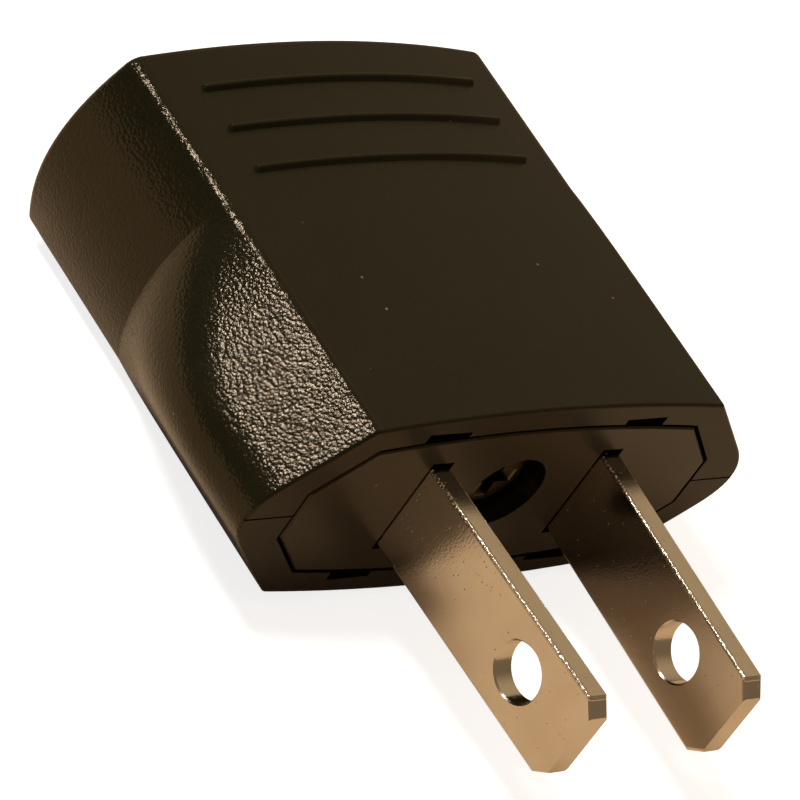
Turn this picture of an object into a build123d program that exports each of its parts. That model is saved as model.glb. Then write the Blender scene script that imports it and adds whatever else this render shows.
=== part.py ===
"""Travel plug adapter: flat parallel blades in front, sockets for two round pins behind.

Millimetres. The origin is the middle of the front plate's outer face, between the blade
roots. +X runs across the blades, +Y runs from the blades to the socket end, and +Z points
out of the ribbed wide face.
"""

from build123d import *
import os
from math import atan, cos, radians, sin, tan

# Blades
BLADE_WIDTH = 6.35
BLADE_THICKNESS = 1.45
BLADE_LENGTH = 17.3
BLADE_ROOT_PITCH = 13.33
BLADE_LEAN_DEG = 2.0
BLADE_TIP_CHAMFER = 0.9
BLADE_EDGE_ROUND = 0.2
LOCK_HOLE_RADIUS = 1.75
LOCK_HOLE_FROM_PLATE = 12.0
LOCK_HOLE_CHAMFER = 0.1
SHOULDER_STEP = 1.125
SHOULDER_LENGTH = 3.0
TAIL_WIDTH = 4.4

# Round pins that the socket end takes
PIN_PITCH = 19.0
PIN_RADIUS = 2.0
PIN_LENGTH = 19.0
PIN_END_GAP = 0.5
PIN_HOLE_RADIUS = 2.55
PIN_HOLE_LEAD_IN = 0.4
PIN_SLACK = 0.05

# Contact springs and their rivets
SPRING_THICKNESS = 0.4
SPRING_WIDTH = 4.0
SPRING_BEND_RADIUS = 0.8
SPRING_BASE_START = 0.3
SPRING_BOW = 0.35
SPRING_WALL_GAP = 0.2
RIVET_RADIUS = 0.9
RIVET_HEAD_RADIUS = 1.6
RIVET_HEAD_HEIGHT = 0.6
RIVET_CLEARANCE = 0.02

# Housing
SIDE_WALL = 1.06
FACE_WALL = 1.8
REAR_WALL = 2.4
CAVITY_HEADROOM = 0.55
CONTACT_END_GAP = 2.7
HOUSING_LENGTH = 28.55
PLATE_PROUD = 0.05
FRONT_CROWN = 0.79
REAR_CROWN = 1.19
FRONT_RIDGE_RADIUS = 0.45
REAR_RIDGE_RADIUS = 1.3
REAR_EDGE_RADIUS = 0.45
FRONT_EDGE_RADIUS = 0.2
REAR_BULGE = 1.94
REAR_FACET = 1.0
WING_BULGE = 5.6
WING_FACET = 4.12
FACET_FADE_POWER = 1.8
WING_STRAIGHT = 4.95
WING_LENGTH = 17.2
WING_STATIONS = 7

# Grip ribs on the upper wide face
RIB_COUNT = 3
RIB_FROM_REAR = 3.2
RIB_PITCH = 3.12
RIB_HALF_LENGTH = 10.35
RIB_HEIGHT = 0.33
RIB_TOP_RADIUS = 0.18
RIB_DRAFT_DEG = 28.0
RIB_ROOT = 0.3

# Front plate and its seat
PLATE_THICKNESS = 2.4
PLATE_GAP = 0.22
PLATE_EDGE_CHAMFER = 0.1
PLATE_CROWN = 0.78
SEAT_CORNER_IN_X = 1.11
SEAT_CORNER_IN_Z = 1.6
SEAT_SIDE_OUT = 2.09
SEAT_CORNER_DEG = 45.0
SEAT_LEDGE = 0.9
WING_CORE_DEPTH = 6.6
SLOT_SIDE_CLEARANCE = 0.1
SLOT_END_CLEARANCE = 0.375
NOTCH_CENTRE_X = 7.7
NOTCH_WIDTH = 3.2
NOTCH_HEIGHT = 0.5
NOTCH_DEPTH = 1.6
PARTING_LINE_WIDTH = 0.12
PARTING_LINE_DEPTH = 0.1

# Centre screw, a little above mid height
SCREW_Z = 0.5
SCREW_HEAD_RADIUS = 2.5
SCREW_HEAD_HEIGHT = 1.5
SCREW_HEAD_ROUND = 0.6
SCREW_HEAD_SUNK = 1.2
SCREW_SHANK_RADIUS = 1.35
SCREW_SHANK_LENGTH = 12.0
SCREW_POINT_LENGTH = 1.5
SCREW_POINT_RADIUS = 0.3
CROSS_LENGTH = 3.2
CROSS_TIP_LENGTH = 1.1
CROSS_WIDTH = 0.95
CROSS_DEPTH = 1.2
HEAD_WELL_RADIUS = 2.75
SCREW_THROUGH_CLEARANCE = 0.25
SCREW_THREAD_CLEARANCE = 0.04
PLATE_BOSS_WALL = 1.05
PLATE_BOSS_LENGTH = 2.0
SCREW_BOSS_RADIUS = 3.2
BOSS_GAP = 0.2
PILOT_SPARE_DEPTH = 1.0

# Stops behind the blade shoulders
STOP_LENGTH = 3.6
STOP_SIDE_MARGIN = 0.3
STOP_TAIL_CLEARANCE = 0.4
STOP_ROOT = 0.4

# How far a cutter reaches past the face that it opens
CUT_OVERRUN = 1.0

# Places worked out from the sizes above
LEAN = radians(BLADE_LEAN_DEG)
BLADE_X = BLADE_ROOT_PITCH / 2
BLADE_OUTER_X = BLADE_X + BLADE_THICKNESS / 2
BLADE_INNER_X = BLADE_X - BLADE_THICKNESS / 2
SHOULDER_HALF_WIDTH = BLADE_WIDTH / 2 + SHOULDER_STEP
SHOULDER_REAR_Y = PLATE_THICKNESS + SHOULDER_LENGTH
PIN_X = PIN_PITCH / 2
LEAF_X = PIN_X + PIN_RADIUS + PIN_SLACK + SPRING_THICKNESS / 2
SPRING_BASE_X = BLADE_OUTER_X + SPRING_THICKNESS / 2
CAVITY_HALF_WIDTH = LEAF_X + SPRING_BOW + SPRING_THICKNESS / 2 + SPRING_WALL_GAP
CAVITY_HALF_HEIGHT = SHOULDER_HALF_WIDTH + CAVITY_HEADROOM
RIDGE_HALF_WIDTH = CAVITY_HALF_WIDTH + SIDE_WALL
RIDGE_HALF_HEIGHT = CAVITY_HALF_HEIGHT + FACE_WALL
RIM_Y = PLATE_PROUD
REAR_Y = RIM_Y + HOUSING_LENGTH
WING_STRAIGHT_Y = RIM_Y + WING_STRAIGHT
CREASE_Y = RIM_Y + WING_LENGTH
CAVITY_REAR_Y = REAR_Y - REAR_WALL
CONTACT_REAR_Y = CAVITY_REAR_Y - CONTACT_END_GAP
SPRING_FRONT_Y = PLATE_THICKNESS + SPRING_BASE_START
SPRING_BRIDGE_Y = REAR_Y - PIN_LENGTH - PIN_END_GAP - SPRING_THICKNESS / 2
RIVET_Y = (SPRING_FRONT_Y + SPRING_BRIDGE_Y - SPRING_BEND_RADIUS) / 2
SEAT_CORNER_X = RIDGE_HALF_WIDTH - SEAT_CORNER_IN_X
SEAT_CORNER_Z = RIDGE_HALF_HEIGHT - SEAT_CORNER_IN_Z
SEAT_SIDE_X = RIDGE_HALF_WIDTH + SEAT_SIDE_OUT
SEAT_SIDE_Z = SEAT_CORNER_Z - (SEAT_SIDE_X - SEAT_CORNER_X)
SEAT_CREST_Z = SEAT_CORNER_Z + PLATE_CROWN
HEAD_SEAT_Y = SCREW_HEAD_SUNK + SCREW_HEAD_HEIGHT
PLATE_BOSS_REAR_Y = PLATE_THICKNESS + PLATE_BOSS_LENGTH
SCREW_BOSS_FRONT_Y = PLATE_BOSS_REAR_Y + BOSS_GAP
SCREW_TIP_Y = HEAD_SEAT_Y + SCREW_SHANK_LENGTH


def along_y(radius, y_from, y_to, x=0.0, z=0.0):
    """Cylinder with its axis along Y."""
    rod = Cylinder(radius, y_to - y_from, align=(Align.CENTER, Align.CENTER, Align.MIN))
    return Pos(x, y_from, z) * Rot(-90, 0, 0) * rod


def along_x(radius, x_from, x_to, y):
    """Cylinder with its axis along X at mid height."""
    rod = Cylinder(radius, x_to - x_from, align=(Align.CENTER, Align.CENTER, Align.MIN))
    return Pos(x_from, y, 0) * Rot(0, 90, 0) * rod


def block(x_range, y_range, z_range):
    """Box between two corners."""
    low, high = zip(x_range, y_range, z_range)
    size = [top - bottom for bottom, top in zip(low, high)]
    return Pos(*low) * Box(*size, align=(Align.MIN, Align.MIN, Align.MIN))


def pull_along_y(outline, y_from, y_to):
    """Prism of an XZ outline between two stations."""
    return Pos(0, y_from, 0) * extrude(outline, y_to - y_from, dir=(0, 1, 0))


def crown_height(y):
    """Height of the wide face's crest above the ridges, which grows evenly to the rear."""
    share = (y - RIM_Y) / HOUSING_LENGTH
    return FRONT_CROWN + (REAR_CROWN - FRONT_CROWN) * share


def side_shape(y):
    """Facet slope, nose half-height and ridge radius of the side at one station.

    The side reaches out by the bulge at mid height. The wing is full over its straight
    front and fades along a parabola to the crease, where the plain rear begins. Its nose
    grows as it fades, so that the facets keep their slope over most of the way.
    """
    run = (CREASE_Y - y) / (CREASE_Y - WING_STRAIGHT_Y)
    run = min(max(run, 0.0), 1.0)
    share = run * (2 - run)
    bulge = REAR_BULGE + (WING_BULGE - REAR_BULGE) * share
    facet = REAR_FACET + (WING_FACET - REAR_FACET) * share ** FACET_FADE_POWER
    nose = RIDGE_HALF_HEIGHT - facet
    slope = bulge / (RIDGE_HALF_HEIGHT - nose / 2)
    ridge_radius = REAR_RIDGE_RADIUS + (FRONT_RIDGE_RADIUS - REAR_RIDGE_RADIUS) * share
    return slope, nose, ridge_radius


def housing_section(y):
    """Outer section of the housing at one station.

    The wide faces are arcs. Each side has two flat facets with a parabola between them as a
    round nose. Arcs round the ridges, wider towards the rear.
    """
    slope, nose, ridge_radius = side_shape(y)
    crown = crown_height(y)
    face_angle = 2 * atan(crown / RIDGE_HALF_WIDTH)
    face_way = Vector(cos(face_angle), 0, -sin(face_angle))
    side_way = Vector(slope, 0, -1).normalized()
    half_turn = radians(face_way.get_angle(side_way)) / 2
    corner = Vector(RIDGE_HALF_WIDTH, y, RIDGE_HALF_HEIGHT)
    reach = ridge_radius * tan(half_turn)
    face_end = corner - face_way * reach
    side_end = corner + side_way * reach
    inward = (side_way - face_way).normalized()
    ridge_mid = corner + inward * ridge_radius * (1 / cos(half_turn) - 1)
    nose_end = corner + Vector(slope, 0, -1) * (RIDGE_HALF_HEIGHT - nose)
    facet_meet = corner + Vector(slope, 0, -1) * RIDGE_HALF_HEIGHT

    def flip(point, x_sign, z_sign):
        return Vector(point.X * x_sign, point.Y, point.Z * z_sign)

    def face_arc(z_sign):
        crest = Vector(0, y, z_sign * (RIDGE_HALF_HEIGHT + crown))
        ends = [flip(face_end, x_sign * z_sign, z_sign) for x_sign in (-1, 1)]
        return ThreePointArc(ends[0], crest, ends[1])

    def ridge_arc(x_sign, z_sign):
        corner_points = [flip(point, x_sign, z_sign) for point in (face_end, ridge_mid, side_end)]
        return ThreePointArc(*(corner_points if x_sign * z_sign > 0 else corner_points[::-1]))

    def side_edges(x_sign):
        first, second = [[flip(point, x_sign, z_sign) for point in (side_end, nose_end)]
                         for z_sign in (x_sign, -x_sign)]
        nose_curve = Bezier(first[1], flip(facet_meet, x_sign, 1), second[1])
        return [Line(*first), nose_curve, Line(second[1], second[0])]

    return Wire([
        face_arc(1), ridge_arc(1, 1), *side_edges(1), ridge_arc(1, -1),
        face_arc(-1), ridge_arc(-1, -1), *side_edges(-1), ridge_arc(-1, 1),
    ])


def housing_blank():
    """Solid outer form: straight front, wings that fade up to the crease, then the plain rear."""
    fade_run = (CREASE_Y - WING_STRAIGHT_Y) / (WING_STATIONS - 1)
    fade_stations = [WING_STRAIGHT_Y + fade_run * step for step in range(WING_STATIONS)]
    straight = Solid.make_loft([housing_section(y) for y in (RIM_Y, WING_STRAIGHT_Y)], ruled=True)
    fade = Solid.make_loft([housing_section(y) for y in fade_stations])
    rear = Solid.make_loft([housing_section(y) for y in (CREASE_Y, REAR_Y)], ruled=True)
    straight = fillet(straight.faces().sort_by(Axis.Y)[0].edges(), FRONT_EDGE_RADIUS)
    rear = fillet(rear.faces().sort_by(Axis.Y)[-1].edges(), REAR_EDGE_RADIUS)
    return straight + fade + rear


def seat_outline(shrink):
    """Eight-sided outline of the plate's seat, moved inwards, with crowned wide edges."""
    slant = shrink * tan(radians(SEAT_CORNER_DEG / 2))
    corner = (SEAT_CORNER_X - slant, SEAT_CORNER_Z - shrink)
    side = (SEAT_SIDE_X - shrink, SEAT_SIDE_Z - slant)
    crest = SEAT_CREST_Z - shrink

    def at(x, z):
        return Vector(x, 0, z)

    edges = [
        ThreePointArc(at(-corner[0], corner[1]), at(0, crest), at(*corner)),
        Polyline(at(*corner), at(*side), at(side[0], -side[1]), at(corner[0], -corner[1])),
        ThreePointArc(at(corner[0], -corner[1]), at(0, -crest), at(-corner[0], -corner[1])),
        Polyline(at(-corner[0], -corner[1]), at(-side[0], -side[1]), at(-side[0], side[1]),
                 at(-corner[0], corner[1])),
    ]
    return make_face([edge for group in edges for edge in group.edges()])


def rib_half_section():
    """Half of a rib's section: a round top that runs into a drafted flank."""
    draft = radians(RIB_DRAFT_DEG)
    turn = radians(90) - draft

    def on_top(angle):
        return Vector(RIB_TOP_RADIUS * sin(angle), RIB_HEIGHT - RIB_TOP_RADIUS * (1 - cos(angle)))

    crest, flank = on_top(0), on_top(turn)
    foot = Vector(flank.X + (flank.Y + RIB_ROOT) * tan(draft), -RIB_ROOT)
    edges = [ThreePointArc(crest, on_top(turn / 2), flank), Polyline(flank, foot, (0, -RIB_ROOT), crest)]
    return make_face([edge for group in edges for edge in group.edges()])


def grip_rib(order):
    """Raised rib with rounded ends across the upper face, following its crown."""
    y = REAR_Y - RIB_FROM_REAR - order * RIB_PITCH
    crest_z = RIDGE_HALF_HEIGHT + crown_height(y)
    end_z = crest_z - crown_height(y) * (RIB_HALF_LENGTH / RIDGE_HALF_WIDTH) ** 2
    path = ThreePointArc((-RIB_HALF_LENGTH, y, end_z), (0, y, crest_z), (RIB_HALF_LENGTH, y, end_z))
    half = rib_half_section()
    start = Plane(origin=path @ 0, x_dir=(0, 1, 0), z_dir=path % 0)
    bar = sweep(start * (half + mirror(half, Plane.YZ)), path=path)
    end_cap = revolve(half, Axis.Y)
    for share in (0, 1):
        bar += Plane(origin=path @ share, x_dir=(0, 1, 0), z_dir=path % share) * end_cap
    return bar


def blade_stops():
    """Ribs on the cavity's ceilings that hold the blade shoulders against the plate."""
    stops = []
    y_range = (SHOULDER_REAR_Y, SHOULDER_REAR_Y + STOP_LENGTH)
    low = TAIL_WIDTH / 2 + STOP_TAIL_CLEARANCE
    high = CAVITY_HALF_HEIGHT + STOP_ROOT
    near = BLADE_INNER_X - STOP_SIDE_MARGIN
    far = BLADE_OUTER_X + STOP_SIDE_MARGIN
    for x_range in ((near, far), (-far, -near)):
        for z_range in ((low, high), (-high, -low)):
            stops.append(block(x_range, y_range, z_range))
    return stops


def make_housing():
    """One-piece moulded shell with rear wall, pin holes, screw boss and plate seat."""
    shell = housing_blank()
    for order in range(RIB_COUNT):
        shell += grip_rib(order)
    shell -= pull_along_y(seat_outline(0.0), RIM_Y - CUT_OVERRUN, PLATE_THICKNESS)
    core_range = (PLATE_THICKNESS - CUT_OVERRUN, PLATE_THICKNESS + WING_CORE_DEPTH)
    shell -= pull_along_y(seat_outline(SEAT_LEDGE), *core_range)
    shell -= block(
        (-CAVITY_HALF_WIDTH, CAVITY_HALF_WIDTH),
        (PLATE_THICKNESS, CAVITY_REAR_Y),
        (-CAVITY_HALF_HEIGHT, CAVITY_HALF_HEIGHT),
    )
    shell += along_y(SCREW_BOSS_RADIUS, SCREW_BOSS_FRONT_Y, CAVITY_REAR_Y + REAR_WALL / 2, z=SCREW_Z)
    for stop in blade_stops():
        shell += stop
    pilot_radius = SCREW_SHANK_RADIUS + SCREW_THREAD_CLEARANCE
    pilot_range = (SCREW_BOSS_FRONT_Y - CUT_OVERRUN, SCREW_TIP_Y + PILOT_SPARE_DEPTH)
    shell -= along_y(pilot_radius, *pilot_range, z=SCREW_Z)
    for side in (-1, 1):
        pin_range = (CAVITY_REAR_Y - CUT_OVERRUN, REAR_Y + CUT_OVERRUN)
        shell -= along_y(PIN_HOLE_RADIUS, *pin_range, x=side * PIN_X)
        lead_in = Cone(PIN_HOLE_RADIUS, PIN_HOLE_RADIUS + PIN_HOLE_LEAD_IN, PIN_HOLE_LEAD_IN)
        shell -= Pos(side * PIN_X, REAR_Y - PIN_HOLE_LEAD_IN / 2, 0) * Rot(-90, 0, 0) * lead_in
        line_x = sorted((side * SEAT_SIDE_X, side * (RIDGE_HALF_WIDTH + WING_BULGE)))
        shell -= block(
            line_x,
            (RIM_Y - CUT_OVERRUN, RIM_Y + PARTING_LINE_DEPTH),
            (-PARTING_LINE_WIDTH / 2, PARTING_LINE_WIDTH / 2),
        )
        for face in (-1, 1):
            notch_x = side * NOTCH_CENTRE_X
            seat_z = SEAT_CREST_Z - PLATE_CROWN * (NOTCH_CENTRE_X / SEAT_CORNER_X) ** 2
            notch_z = sorted((face * (seat_z - PLATE_GAP), face * (seat_z + NOTCH_HEIGHT)))
            shell -= block(
                (notch_x - NOTCH_WIDTH / 2, notch_x + NOTCH_WIDTH / 2),
                (RIM_Y - CUT_OVERRUN, RIM_Y + NOTCH_DEPTH),
                notch_z,
            )
    return shell


def make_front_plate():
    """Blade carrier: crowned plate with two blade slots and a well for the screw head."""
    plate = pull_along_y(seat_outline(PLATE_GAP), 0, PLATE_THICKNESS)
    plate = chamfer(plate.faces().sort_by(Axis.Y)[0].edges(), PLATE_EDGE_CHAMFER)
    plate += along_y(HEAD_WELL_RADIUS + PLATE_BOSS_WALL, PLATE_THICKNESS / 2, PLATE_BOSS_REAR_Y, z=SCREW_Z)
    plate -= along_y(HEAD_WELL_RADIUS, -CUT_OVERRUN, HEAD_SEAT_Y, z=SCREW_Z)
    through_radius = SCREW_SHANK_RADIUS + SCREW_THROUGH_CLEARANCE
    plate -= along_y(through_radius, 0, PLATE_BOSS_REAR_Y + CUT_OVERRUN, z=SCREW_Z)
    half_slot_x = BLADE_THICKNESS / 2 + SLOT_SIDE_CLEARANCE
    half_slot_z = BLADE_WIDTH / 2 + SLOT_END_CLEARANCE
    for x in (-BLADE_X, BLADE_X):
        plate -= block(
            (x - half_slot_x, x + half_slot_x),
            (-CUT_OVERRUN, PLATE_THICKNESS + CUT_OVERRUN),
            (-half_slot_z, half_slot_z),
        )
    return plate


def make_blade():
    """Right blade: a strip that leans in from its root, with shoulders and a contact tail."""
    lean_in = BLADE_LENGTH * tan(LEAN)
    plan = make_face(Polyline(
        (BLADE_INNER_X, CONTACT_REAR_Y),
        (BLADE_OUTER_X, CONTACT_REAR_Y),
        (BLADE_OUTER_X, 0),
        (BLADE_OUTER_X - lean_in, -BLADE_LENGTH),
        (BLADE_INNER_X - lean_in, -BLADE_LENGTH),
        (BLADE_INNER_X, 0),
        close=True,
    ))
    half_outline = [
        (-BLADE_LENGTH, BLADE_WIDTH / 2 - BLADE_TIP_CHAMFER),
        (-BLADE_LENGTH + BLADE_TIP_CHAMFER, BLADE_WIDTH / 2),
        (PLATE_THICKNESS, BLADE_WIDTH / 2),
        (PLATE_THICKNESS, SHOULDER_HALF_WIDTH),
        (SHOULDER_REAR_Y, SHOULDER_HALF_WIDTH),
        (SHOULDER_REAR_Y, TAIL_WIDTH / 2),
        (CONTACT_REAR_Y, TAIL_WIDTH / 2),
    ]
    outline = half_outline + [(y, -z) for y, z in reversed(half_outline)]
    profile = make_face(Polyline(*[(0, y, z) for y, z in outline], close=True))
    strip = extrude(plan, SHOULDER_HALF_WIDTH, both=True)
    blade = strip & extrude(profile, BLADE_OUTER_X + BLADE_THICKNESS, dir=(1, 0, 0))
    outer_edges = blade.edges().filter_by(lambda edge: edge.center().Y < -BLADE_TIP_CHAMFER / 2)
    broad_edges = outer_edges.filter_by(Axis.Z, reverse=True).filter_by(
        lambda edge: abs(edge.tangent_at(0.5).X) < 2 * sin(LEAN))
    blade = fillet(broad_edges, BLADE_EDGE_ROUND)
    normal = Vector(cos(LEAN), -sin(LEAN), 0)
    centre = Vector(BLADE_X - LOCK_HOLE_FROM_PLATE * tan(LEAN), -LOCK_HOLE_FROM_PLATE, 0)
    drill_plane = Plane(origin=centre, z_dir=normal)
    blade -= drill_plane * Cylinder(LOCK_HOLE_RADIUS, 2 * BLADE_THICKNESS)
    rims = blade.edges().filter_by(GeomType.CIRCLE).filter_by(
        lambda edge: abs(edge.radius - LOCK_HOLE_RADIUS) < LOCK_HOLE_CHAMFER / 2)
    blade = chamfer(rims, LOCK_HOLE_CHAMFER)
    return blade - along_x(RIVET_RADIUS + RIVET_CLEARANCE, 0, 2 * BLADE_OUTER_X, RIVET_Y)


def make_spring():
    """Right contact spring: a folded strip that presses the round pin onto the blade tail."""
    press_y = (SPRING_BRIDGE_Y + CONTACT_REAR_Y) / 2
    path = FilletPolyline(
        (SPRING_BASE_X, SPRING_FRONT_Y),
        (SPRING_BASE_X, SPRING_BRIDGE_Y),
        (LEAF_X + SPRING_BOW, SPRING_BRIDGE_Y),
        (LEAF_X, press_y),
        (LEAF_X + SPRING_BOW, CONTACT_REAR_Y),
        radius=SPRING_BEND_RADIUS,
    )
    strip = extrude(trace(path, line_width=SPRING_THICKNESS), SPRING_WIDTH / 2, both=True)
    return strip - along_x(RIVET_RADIUS + RIVET_CLEARANCE, BLADE_X, PIN_X, RIVET_Y)


def make_rivet():
    """Right rivet through the blade tail and the spring's base, headed on both sides."""
    inner = BLADE_INNER_X
    outer = BLADE_OUTER_X + SPRING_THICKNESS
    rivet = along_x(RIVET_RADIUS, inner - RIVET_HEAD_HEIGHT, outer + RIVET_HEAD_HEIGHT, RIVET_Y)
    rivet += along_x(RIVET_HEAD_RADIUS, inner - RIVET_HEAD_HEIGHT, inner, RIVET_Y)
    rivet += along_x(RIVET_HEAD_RADIUS, outer, outer + RIVET_HEAD_HEIGHT, RIVET_Y)
    ends = rivet.faces().sort_by(Axis.X)
    return fillet(ends[0].edges() + ends[-1].edges(), RIVET_HEAD_HEIGHT / 2)


def cross_recess():
    """Two crossed slots in the screw head, which taper to a blunt point."""
    mouth, tip = CROSS_LENGTH / 2, CROSS_TIP_LENGTH / 2
    outline = make_face(Polyline(
        (-mouth, 0), (mouth, 0), (mouth, SCREW_HEAD_SUNK), (tip, SCREW_HEAD_SUNK + CROSS_DEPTH),
        (-tip, SCREW_HEAD_SUNK + CROSS_DEPTH), (-mouth, SCREW_HEAD_SUNK),
        close=True,
    ))
    slot = extrude(outline, CROSS_WIDTH / 2, both=True)
    return slot + Rot(0, 90, 0) * slot


def make_screw():
    """Pan-head cross-recess screw that pulls the plate onto its seat."""
    head = along_y(SCREW_HEAD_RADIUS, SCREW_HEAD_SUNK, HEAD_SEAT_Y)
    head = fillet(head.faces().sort_by(Axis.Y)[0].edges(), SCREW_HEAD_ROUND)
    head -= cross_recess()
    shank = along_y(SCREW_SHANK_RADIUS, HEAD_SEAT_Y, SCREW_TIP_Y - SCREW_POINT_LENGTH)
    point = Cone(SCREW_SHANK_RADIUS, SCREW_POINT_RADIUS, SCREW_POINT_LENGTH)
    screw = head + shank + Pos(0, SCREW_TIP_Y - SCREW_POINT_LENGTH / 2, 0) * Rot(-90, 0, 0) * point
    return Pos(0, 0, SCREW_Z) * screw


def write_node(name, solid):
    """Write one node's solid to its file."""
    export_step(solid, f"parts/{name}.step")


def main():
    os.makedirs("parts", exist_ok=True)
    write_node("housing", make_housing())
    write_node("front_plate", make_front_plate())
    write_node("centre_screw", make_screw())
    for name, make in (("blade", make_blade), ("contact_spring", make_spring), ("rivet", make_rivet)):
        right = make()
        write_node(f"{name}_right", right)
        write_node(f"{name}_left", mirror(right, Plane.YZ))


main()
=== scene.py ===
"""Looks of a travel plug adapter: finishes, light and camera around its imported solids.

Metres in Blender, millimetres in the named sizes. The frame is the solids' own: the origin is
the middle of the front plate's outer face, +X runs across the blades, +Y runs to the socket
end, and +Z points out of the ribbed wide face.
"""

import logging
from dataclasses import dataclass
from enum import Enum
from typing import Union

import bpy
import numpy as np
from mathutils import Matrix, Vector


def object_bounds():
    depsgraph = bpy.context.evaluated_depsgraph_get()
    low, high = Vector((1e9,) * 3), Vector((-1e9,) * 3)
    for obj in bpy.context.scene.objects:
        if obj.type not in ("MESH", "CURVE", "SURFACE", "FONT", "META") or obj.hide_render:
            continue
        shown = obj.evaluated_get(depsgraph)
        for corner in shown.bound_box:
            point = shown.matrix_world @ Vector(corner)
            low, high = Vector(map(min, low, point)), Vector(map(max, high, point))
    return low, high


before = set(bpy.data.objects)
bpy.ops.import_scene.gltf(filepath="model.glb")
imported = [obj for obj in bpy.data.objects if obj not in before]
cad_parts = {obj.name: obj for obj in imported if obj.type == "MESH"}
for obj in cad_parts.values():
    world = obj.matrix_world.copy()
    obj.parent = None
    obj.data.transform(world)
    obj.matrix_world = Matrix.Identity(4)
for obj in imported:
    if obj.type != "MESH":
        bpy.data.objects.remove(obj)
CAD_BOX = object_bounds()
LOG = logging.getLogger("plug_adapter")

MM = 0.001

# Leather grain, in shares of one pebble cell
WOBBLE_SCALE = 0.7
PEBBLE_BLEND = 0.35
FINE_SCALE = 2.2
FINE_HEIGHT = 0.25

# Sockets of the Mix node by number, because its values and its colours share their names
MIX_SHARE = 0
MIX_VALUES = (2, 3)
MIX_COLOURS = (6, 7)
MIX_VALUE_OUT = 0
MIX_COLOUR_OUT = 2

Socket = bpy.types.NodeSocket
Entry = Union[float, tuple, Socket]
Ports = dict[Union[str, int], Entry]
Colour = tuple[float, float, float]
Span = tuple[float, float]


class Skin(Enum):
    """How a moulded surface came out of its tool."""

    GRAINED = "leather grain on the sides, satin on the wide faces"
    SMOOTH = "plain and semi-gloss"


@dataclass
class Graph:
    """One node tree, with short ways to add nodes and join them."""

    tree: bpy.types.NodeTree

    def add(self, kind: str, inputs: Ports | None = None, **settings) -> bpy.types.Node:
        """Add a node.

        Args:
            kind: Blender's name of the node type.
            inputs: Values or sockets for the node's inputs, by name or number.
            settings: Properties of the node.

        Returns:
            The new node.
        """
        node = self.tree.nodes.new(kind)
        for name, value in settings.items():
            setattr(node, name, value)
        for name, value in (inputs or {}).items():
            self.feed(node.inputs[name], value)
        return node

    def feed(self, socket: Socket, value: Entry) -> None:
        """Link a socket to another one, or set its value."""
        if isinstance(value, bpy.types.NodeSocket):
            self.tree.links.new(value, socket)
        else:
            socket.default_value = value

    def math(self, operation: str, *values: Entry) -> Socket:
        """Result of one arithmetic step on one to three values."""
        return self.add("ShaderNodeMath", dict(enumerate(values)), operation=operation).outputs[0]

    def step(self, value: Entry, low: float, high: float) -> Socket:
        """Smooth step of a value from 0 at low to 1 at high."""
        ports = {"Value": value, "From Min": low, "From Max": high}
        node = self.add("ShaderNodeMapRange", ports, interpolation_type="SMOOTHSTEP")
        return node.outputs["Result"]

    def span(self, value: Entry, low: float, high: float) -> Socket:
        """Value between low and high for a share from 0 to 1."""
        ports = {"Value": value, "To Min": low, "To Max": high}
        return self.add("ShaderNodeMapRange", ports).outputs["Result"]

    def blend(self, share: Entry, first: Entry, second: Entry) -> Socket:
        """Colour between two colours."""
        ports = dict(zip((MIX_SHARE, *MIX_COLOURS), (share, first, second)))
        return self.add("ShaderNodeMix", ports, data_type="RGBA").outputs[MIX_COLOUR_OUT]

    def mix(self, share: Entry, first: Entry, second: Entry) -> Socket:
        """Value between two values."""
        ports = dict(zip((MIX_SHARE, *MIX_VALUES), (share, first, second)))
        return self.add("ShaderNodeMix", ports).outputs[MIX_VALUE_OUT]

    def noise(self, place: Socket, size_mm: float, detail: float = 2.0) -> Socket:
        """Cloudy value from 0 to 1 whose patches are about the given size."""
        ports = {"Vector": place, "Scale": 1 / (size_mm * MM), "Detail": detail}
        return self.add("ShaderNodeTexNoise", ports).outputs["Fac"]


def rgba(colour: Colour) -> tuple:
    """Colour with full cover, as sockets take it."""
    return (*colour, 1.0)


def new_group(name: str, inputs: dict[str, float], outputs: dict[str, str]) -> tuple[Graph, dict, dict]:
    """Start a shader node group.

    Args:
        name: Name of the group.
        inputs: Default of each value input, by name.
        outputs: Socket type of each output, by name.

    Returns:
        The group's graph, its input sockets and its output sockets, by name.
    """
    tree = bpy.data.node_groups.new(name, "ShaderNodeTree")
    tree.interface.new_socket("Place", in_out="INPUT", socket_type="NodeSocketVector")
    for port, default in inputs.items():
        socket = tree.interface.new_socket(port, in_out="INPUT", socket_type="NodeSocketFloat")
        socket.default_value = default
    for port, kind in outputs.items():
        tree.interface.new_socket(port, in_out="OUTPUT", socket_type=kind)
    graph = Graph(tree)
    source = graph.add("NodeGroupInput")
    sink = graph.add("NodeGroupOutput")
    taken = {port: source.outputs[port] for port in ["Place", *inputs]}
    given = {port: sink.inputs[port] for port in outputs}
    return graph, taken, given


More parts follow.
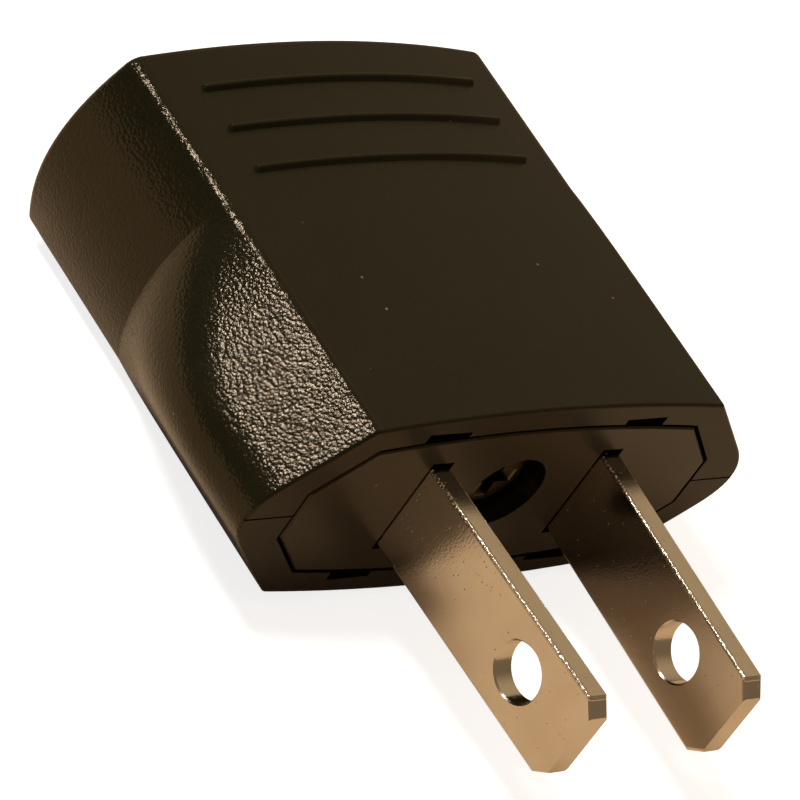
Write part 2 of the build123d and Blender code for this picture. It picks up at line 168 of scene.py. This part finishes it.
def pebble_group() -> bpy.types.NodeTree:
    """Leather grain: rounded pebbles of uneven size with narrow valleys between them.

    Height is one minus the smooth distance to the nearest cell centre, on a place that a slow
    noise has pushed about, plus a share of fine noise.

    Returns:
        The group, with the output Height from 0 to about 1.
    """
    graph, taken, given = new_group(
        "pebble_grain", {"Cells per metre": 3000.0, "Push": 0.00008}, {"Height": "NodeSocketFloat"})
    wobble = graph.add("ShaderNodeTexNoise", {"Vector": taken["Place"], "Detail": 1.0})
    graph.feed(wobble.inputs["Scale"], graph.math("MULTIPLY", taken["Cells per metre"], WOBBLE_SCALE))
    centred = graph.add("ShaderNodeVectorMath", {0: wobble.outputs["Color"], 1: (0.5, 0.5, 0.5)},
                        operation="SUBTRACT")
    push = graph.add("ShaderNodeVectorMath", {0: centred.outputs[0], "Scale": taken["Push"]},
                     operation="SCALE")
    moved = graph.add("ShaderNodeVectorMath", {0: taken["Place"], 1: push.outputs[0]}, operation="ADD")
    cells = graph.add("ShaderNodeTexVoronoi", {"Vector": moved.outputs[0], "Scale": taken["Cells per metre"],
                                               "Smoothness": PEBBLE_BLEND}, feature="SMOOTH_F1")
    dome = graph.math("SUBTRACT", 1.0, cells.outputs["Distance"])
    fine = graph.add("ShaderNodeTexNoise", {"Vector": taken["Place"], "Detail": 2.0})
    graph.feed(fine.inputs["Scale"], graph.math("MULTIPLY", taken["Cells per metre"], FINE_SCALE))
    graph.feed(given["Height"], graph.math("MULTIPLY_ADD", fine.outputs["Fac"], FINE_HEIGHT, dome))
    return graph.tree


def speck_group() -> bpy.types.NodeTree:
    """Sparse specks for dust and pits, far apart.

    A cell holds a speck where its random value is high. The speck is a cone around the cell's
    middle, which falls evenly to 0 at its reach.

    Returns:
        The group, with the output Mask from 0 to 1.
    """
    graph, taken, given = new_group(
        "dust_specks", {"Cells per metre": 400.0, "Rarity": 0.97, "Reach": 0.05}, {"Mask": "NodeSocketFloat"})
    cells = graph.add("ShaderNodeTexVoronoi", {"Vector": taken["Place"], "Scale": taken["Cells per metre"]})
    chosen = graph.math("GREATER_THAN", cells.outputs["Color"], taken["Rarity"])
    share = graph.math("DIVIDE", cells.outputs["Distance"], taken["Reach"])
    cone = graph.math("MAXIMUM", graph.math("SUBTRACT", 1.0, share), 0.0)
    graph.feed(given["Mask"], graph.math("MULTIPLY", chosen, cone))
    return graph.tree


def new_material(name: str) -> tuple[bpy.types.Material, Graph, bpy.types.Node, Socket]:
    """Start a material.

    Args:
        name: Name of the material.

    Returns:
        The material, its graph, its Principled shader and its object coordinates.
    """
    material = bpy.data.materials.new(name)
    material.use_nodes = True
    graph = Graph(material.node_tree)
    graph.tree.nodes.clear()
    shader = graph.add("ShaderNodeBsdfPrincipled")
    graph.add("ShaderNodeOutputMaterial", {"Surface": shader.outputs["BSDF"]})
    place = graph.add("ShaderNodeTexCoord").outputs["Object"]
    return material, graph, shader, place


def use_group(graph: Graph, tree: bpy.types.NodeTree, place: Socket, **values: float) -> bpy.types.Node:
    """Place a group in a material, with its own values given by name with underscores."""
    node = graph.add("ShaderNodeGroup", node_tree=tree)
    graph.feed(node.inputs["Place"], place)
    for name, value in values.items():
        node.inputs[name.replace("_", " ")].default_value = value
    return node


@dataclass(frozen=True)
class MouldedPlastic:
    """Warm black moulded plastic, with the skin that its tool gave it."""

    name: str
    skin: Skin
    base: Colour = (0.0034, 0.0042, 0.0018)
    worn: Colour = (0.0072, 0.0082, 0.0036)
    dust: Colour = (0.30, 0.25, 0.18)
    gloss_level: float = 0.34
    gloss_tint: Colour = (1.0, 0.82, 0.62)
    face_rough: Span = (0.34, 0.44)
    side_rough: Span = (0.13, 0.18)
    grain_cell_mm: float = 0.22
    grain_depth_mm: float = 0.022
    cloud_size_mm: float = 6.0
    mottle_size_mm: float = 0.12
    tone_gain: float = 1.5
    tone_shift: float = -1.0
    dust_cells_per_metre: float = 450.0
    dust_rarity: float = 0.62
    dust_reach: float = 0.05
    satin_size_mm: float = 0.09
    satin_depth_mm: float = 0.007
    ridge_half_width_mm: float = 13.56
    grain_start_mm: Span = (0.40, 0.15)
    end_face_turn: Span = (0.75, 0.9)

    def side_mask(self, graph: Graph, place: Socket) -> Socket:
        """Mask that is 1 on the housing's grained sides and 0 on its other faces."""
        across = graph.add("ShaderNodeSeparateXYZ", {0: place}).outputs["X"]
        out = graph.math("ABSOLUTE", across)
        low, high = ((self.ridge_half_width_mm - inset) * MM for inset in self.grain_start_mm)
        beyond = graph.step(out, low, high)
        normal = graph.add("ShaderNodeNewGeometry").outputs["True Normal"]
        along = graph.add("ShaderNodeSeparateXYZ", {0: normal}).outputs["Y"]
        end_face = graph.step(graph.math("ABSOLUTE", along), *self.end_face_turn)
        return graph.math("MULTIPLY", beyond, graph.math("SUBTRACT", 1.0, end_face))

    def build(self, pebbles: bpy.types.NodeTree, specks: bpy.types.NodeTree) -> bpy.types.Material:
        """Make the material.

        Args:
            pebbles: Group of the leather grain.
            specks: Group of the sparse dust.

        Returns:
            The material.
        """
        material, graph, shader, place = new_material(self.name)
        cloud = graph.noise(place, self.cloud_size_mm, detail=3.0)
        mottle = graph.noise(place, self.mottle_size_mm, detail=1.0)
        both = graph.math("ADD", cloud, mottle)
        tone = graph.math("MULTIPLY_ADD", both, self.tone_gain, self.tone_shift)
        colour = graph.blend(tone, rgba(self.base), rgba(self.worn))
        speck = use_group(graph, specks, place, Cells_per_metre=self.dust_cells_per_metre,
                          Rarity=self.dust_rarity, Reach=self.dust_reach)
        shader.inputs["Specular IOR Level"].default_value = self.gloss_level
        shader.inputs["Specular Tint"].default_value = rgba(self.gloss_tint)
        graph.feed(shader.inputs["Base Color"], graph.blend(speck.outputs["Mask"], colour, rgba(self.dust)))
        satin = graph.noise(place, self.satin_size_mm, detail=3.0)
        height = graph.math("MULTIPLY", satin, self.satin_depth_mm)
        rough = graph.span(cloud, *self.face_rough)
        if self.skin is Skin.GRAINED:
            mask = self.side_mask(graph, place)
            grain = use_group(graph, pebbles, place, Cells_per_metre=1 / (self.grain_cell_mm * MM))
            relief = graph.math("MULTIPLY", grain.outputs["Height"], self.grain_depth_mm)
            height = graph.math("MULTIPLY_ADD", mask, relief, height)
            rough = graph.mix(mask, rough, graph.span(cloud, *self.side_rough))
        bump = graph.add("ShaderNodeBump", {"Strength": 1.0, "Distance": MM, "Height": height})
        graph.feed(shader.inputs["Roughness"], rough)
        graph.feed(shader.inputs["Normal"], bump.outputs["Normal"])
        return material


@dataclass(frozen=True)
class WornMetal:
    """Plain or plated metal with clouding, fine pits, a slightly uneven polish and, where asked, painted
    shade deeper than a given depth.
    """

    name: str
    base: Colour
    cloud: Colour
    rough: Span
    patch_size_mm: float = 3.5
    patch_share: Span = (0.35, 0.7)
    peel_size_mm: float = 0.16
    peel_depth_mm: float = 0.006
    pit_depth_mm: float = 0.027
    pit_cells_per_metre: float = 2800.0
    pit_rarity: float = 0.6
    pit_reach: float = 0.15
    edge_mm: Span = (3.01, 3.175)
    edge_soft_mm: Span = (0.05, 0.015)
    edge_size_mm: float = 0.2
    edge_depth_mm: float = 0.0
    edge_rough: float = 0.27
    # Painted shade: the dark colour that the metal takes deeper than the given depth along +Y, standing in
    # for the shade in a recess
    recess_shade_colour: Colour = (0.035, 0.032, 0.016)
    recess_shade_depth_mm: Span | None = None

    def edge_band(self, graph: Graph, place: Socket) -> Socket:
        """Mask of the rounded upper edge, which stamping left with a fine ripple."""
        level = graph.add("ShaderNodeSeparateXYZ", {0: place}).outputs["Z"]
        low, high = (reach * MM for reach in self.edge_mm)
        rise, fall = (width * MM for width in self.edge_soft_mm)
        inside = graph.step(level, low - rise, low)
        outside = graph.step(level, high - fall, high)
        return graph.math("SUBTRACT", inside, outside)

    def build(self, specks: bpy.types.NodeTree) -> bpy.types.Material:
        """Make the material.

        Args:
            specks: Group of the sparse pits.

        Returns:
            The material.
        """
        material, graph, shader, place = new_material(self.name)
        shader.inputs["Metallic"].default_value = 1.0
        patches = graph.noise(place, self.patch_size_mm, detail=4.0)
        colour = graph.blend(graph.step(patches, *self.patch_share), rgba(self.base), rgba(self.cloud))
        pits = use_group(graph, specks, place, Cells_per_metre=self.pit_cells_per_metre,
                         Rarity=self.pit_rarity, Reach=self.pit_reach)
        orange_peel = graph.noise(place, self.peel_size_mm, detail=3.0)
        relief = graph.math("MULTIPLY", orange_peel, self.peel_depth_mm)
        height = graph.math("MULTIPLY_ADD", pits.outputs["Mask"], -self.pit_depth_mm, relief)
        rough = graph.span(patches, *self.rough)
        if self.edge_depth_mm:
            band = self.edge_band(graph, place)
            bumps = graph.noise(place, self.edge_size_mm, detail=1.0)
            ripple = graph.math("MULTIPLY", bumps, self.edge_depth_mm)
            height = graph.math("MULTIPLY_ADD", band, ripple, height)
            rough = graph.mix(band, rough, self.edge_rough)
        # Painted shade: deeper than the given depth along Y the metal turns to the dark colour, as the shaded
        # cross recess and the head's side in its well
        if self.recess_shade_depth_mm:
            depth = graph.add("ShaderNodeSeparateXYZ", {0: place}).outputs["Y"]
            shaded_share = graph.step(depth, *(level * MM for level in self.recess_shade_depth_mm))
            colour = graph.blend(shaded_share, colour, rgba(self.recess_shade_colour))
        bump = graph.add("ShaderNodeBump", {"Strength": 1.0, "Distance": MM, "Height": height})
        graph.feed(shader.inputs["Base Color"], colour)
        graph.feed(shader.inputs["Roughness"], rough)
        graph.feed(shader.inputs["Normal"], bump.outputs["Normal"])
        return material


@dataclass
class Piece:
    """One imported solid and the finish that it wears."""

    node: str
    material: bpy.types.Material

    def dress(self) -> None:
        """Put the finish on the solid."""
        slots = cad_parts[self.node].material_slots
        for slot in slots:
            slot.link = "OBJECT"
            slot.material = self.material
        LOG.info("%s wears %s", self.node, self.material.name)


@dataclass
class Adapter:
    """The whole adapter: moulded shell, blades with their contacts, and the centre screw."""

    grained: MouldedPlastic = MouldedPlastic("housing_plastic_grained", Skin.GRAINED)
    smooth: MouldedPlastic = MouldedPlastic(
        "plate_plastic_smooth", Skin.SMOOTH, gloss_level=0.45, face_rough=(0.26, 0.36))
    plating: WornMetal = WornMetal(
        "nickel_plate", base=(0.73, 0.675, 0.59), cloud=(0.68, 0.62, 0.54), rough=(0.14, 0.24),
        edge_depth_mm=0.075)
    bronze: WornMetal = WornMetal(
        "spring_bronze", base=(0.56, 0.33, 0.16), cloud=(0.45, 0.25, 0.11), rough=(0.22, 0.34))
    brass: WornMetal = WornMetal(
        "rivet_brass", base=(0.66, 0.47, 0.20), cloud=(0.55, 0.38, 0.16), rough=(0.2, 0.32))
    # The screw gets painted shade in its cross recess and on the head's side inside the well
    zinc: WornMetal = WornMetal(
        "screw_zinc", base=(0.20, 0.165, 0.12), cloud=(0.14, 0.115, 0.08), rough=(0.24, 0.36),
        recess_shade_depth_mm=(1.2, 1.35))

    def dress(self) -> None:
        """Build each finish once and put it on its solids."""
        pebbles = pebble_group()
        specks = speck_group()
        plating = self.plating.build(specks)
        bronze = self.bronze.build(specks)
        brass = self.brass.build(specks)
        pieces = [
            Piece("housing", self.grained.build(pebbles, specks)),
            Piece("front_plate", self.smooth.build(pebbles, specks)),
            Piece("centre_screw", self.zinc.build(specks)),
        ]
        for hand in ("left", "right"):
            pieces.append(Piece(f"blade_{hand}", plating))
            pieces.append(Piece(f"contact_spring_{hand}", bronze))
            pieces.append(Piece(f"rivet_{hand}", brass))
        for piece in pieces:
            piece.dress()


@dataclass
class Lamp:
    """Round soft lamp that looks at the adapter from one direction."""

    name: str
    towards: Colour
    distance: float
    width: float
    power: float
    colour: Colour = (1.0, 1.0, 1.0)
    glossy: bool = True

    def place(self, target: Vector) -> None:
        """Hang the lamp and turn it to the target."""
        light = bpy.data.lights.new(self.name, "AREA")
        light.shape = "DISK"
        light.size = self.width
        light.energy = self.power
        light.color = self.colour
        lamp = bpy.data.objects.new(self.name, light)
        way = Vector(self.towards).normalized()
        lamp.location = target + way * self.distance
        lamp.rotation_euler = way.to_track_quat("Z", "Y").to_euler()
        lamp.visible_glossy = self.glossy
        bpy.context.scene.collection.objects.link(lamp)


@dataclass
class Studio:
    """Pale floor, soft light and the camera at the photograph's viewing angle."""

    floor_half_width: float = 3.0
    floor_colour: Colour = (0.60, 0.60, 0.60)
    floor_bounce: Colour = (0.67, 0.49, 0.31)
    floor_glow: float = 0.82
    floor_glint: float = 0.02
    backdrop: Colour = (1.0, 1.0, 1.0)
    horizon: Colour = (0.20, 0.14, 0.085)
    panel: Colour = (0.48, 0.35, 0.205)
    panel_way: Colour = (0.25, 0.50, 0.83)
    panel_spread: Span = (0.35, 0.95)
    target_mm: Colour = (-2.496, 7.637, 0.0)
    bearing_deg: float = 213.876
    elevation_deg: float = 34.268
    roll_deg: float = 35.873
    camera_distance_mm: float = 323.42
    focal_mm: float = 257.85
    sensor_mm: float = 36.0
    clip_start: float = 0.01
    lamps: tuple[Lamp, ...] = (
        Lamp("key_lamp", towards=(-0.462, 0.515, 0.725), distance=0.5, width=0.06, power=0.73,
             colour=(1.0, 0.95, 0.88)),
        Lamp("floor_lamp", towards=(-0.460, 0.224, 0.859), distance=0.5, width=0.11, power=1.55,
             colour=(1.0, 0.97, 0.93), glossy=False),
    )

    def lay_floor(self) -> None:
        """Lay a flat square floor under the adapter, pale where the background is seen."""
        half = self.floor_half_width
        level = float(CAD_BOX[0][2])
        corners = np.array([[-1, -1, 0], [1, -1, 0], [1, 1, 0], [-1, 1, 0]]) * half + [0, 0, level]
        mesh = bpy.data.meshes.new("floor")
        mesh.from_pydata(corners.tolist(), [], [(0, 1, 2, 3)])
        floor = bpy.data.objects.new("floor", mesh)
        bpy.context.scene.collection.objects.link(floor)
        material = bpy.data.materials.new("floor_paper")
        material.use_nodes = True
        graph = Graph(material.node_tree)
        graph.tree.nodes.clear()
        path = graph.add("ShaderNodeLightPath").outputs
        seen = path["Is Camera Ray"]
        shiny = graph.math("MAXIMUM", path["Is Glossy Ray"], path["Is Transmission Ray"])
        tone = graph.blend(seen, rgba(self.floor_bounce), rgba(self.floor_colour))
        paper = graph.add("ShaderNodeBsdfDiffuse", {"Color": tone})
        glint = graph.math("MULTIPLY", shiny, self.floor_glint)
        strength = graph.math("MULTIPLY_ADD", seen, self.floor_glow, glint)
        glow = graph.add("ShaderNodeEmission", {"Strength": strength})
        both = graph.add("ShaderNodeAddShader", {0: paper.outputs[0], 1: glow.outputs[0]})
        graph.add("ShaderNodeOutputMaterial", {"Surface": both.outputs[0]})
        mesh.materials.append(material)

    def hang_world(self) -> None:
        """White background for the camera, and a dim warm room with a soft overhead panel for the rest.

        The panel's share is a smooth step of the cosine between a direction and the panel's.
        """
        world = bpy.data.worlds.new("studio")
        world.use_nodes = True
        graph = Graph(world.node_tree)
        graph.tree.nodes.clear()
        way = graph.add("ShaderNodeTexCoord").outputs["Generated"]
        panel = tuple(Vector(self.panel_way).normalized())
        near = graph.add("ShaderNodeVectorMath", {0: way, 1: panel}, operation="DOT_PRODUCT").outputs["Value"]
        room = graph.blend(graph.step(near, *self.panel_spread), rgba(self.horizon), rgba(self.panel))
        seen = graph.add("ShaderNodeLightPath").outputs["Is Camera Ray"]
        sky = graph.add("ShaderNodeBackground", {"Color": graph.blend(seen, room, rgba(self.backdrop))})
        graph.add("ShaderNodeOutputWorld", {"Surface": sky.outputs[0]})
        bpy.context.scene.world = world

    def set_camera(self) -> None:
        """Set up the camera from its bearing, elevation and roll about the target."""
        bearing, lift, roll = np.radians([self.bearing_deg, self.elevation_deg, self.roll_deg])
        back = Vector((np.cos(lift) * np.cos(bearing), np.cos(lift) * np.sin(bearing), np.sin(lift)))
        level = Vector((0, 0, 1)).cross(back).normalized()
        upright = back.cross(level)
        right = level * np.cos(roll) + upright * np.sin(roll)
        up = back.cross(right)
        data = bpy.data.cameras.new("camera")
        data.lens = self.focal_mm
        data.sensor_width = self.sensor_mm
        data.clip_start = self.clip_start
        camera = bpy.data.objects.new("camera", data)
        turn = Matrix((right, up, back)).transposed().to_4x4()
        stand = (Vector(self.target_mm) + back * self.camera_distance_mm) * MM
        camera.matrix_world = Matrix.Translation(stand) @ turn
        bpy.context.scene.collection.objects.link(camera)
        bpy.context.scene.camera = camera

    def build(self) -> None:
        """Set up floor, surroundings, lamps and camera."""
        self.lay_floor()
        self.hang_world()
        for lamp in self.lamps:
            lamp.place(Vector(self.target_mm) * MM)
        self.set_camera()
        bpy.context.scene.view_settings.view_transform = "Standard"


def main() -> None:
    """Dress the adapter and set up the studio."""
    logging.basicConfig(level=logging.INFO, format="%(name)s: %(message)s")
    Adapter().dress()
    Studio().build()


if __name__ == "__main__":
    main()
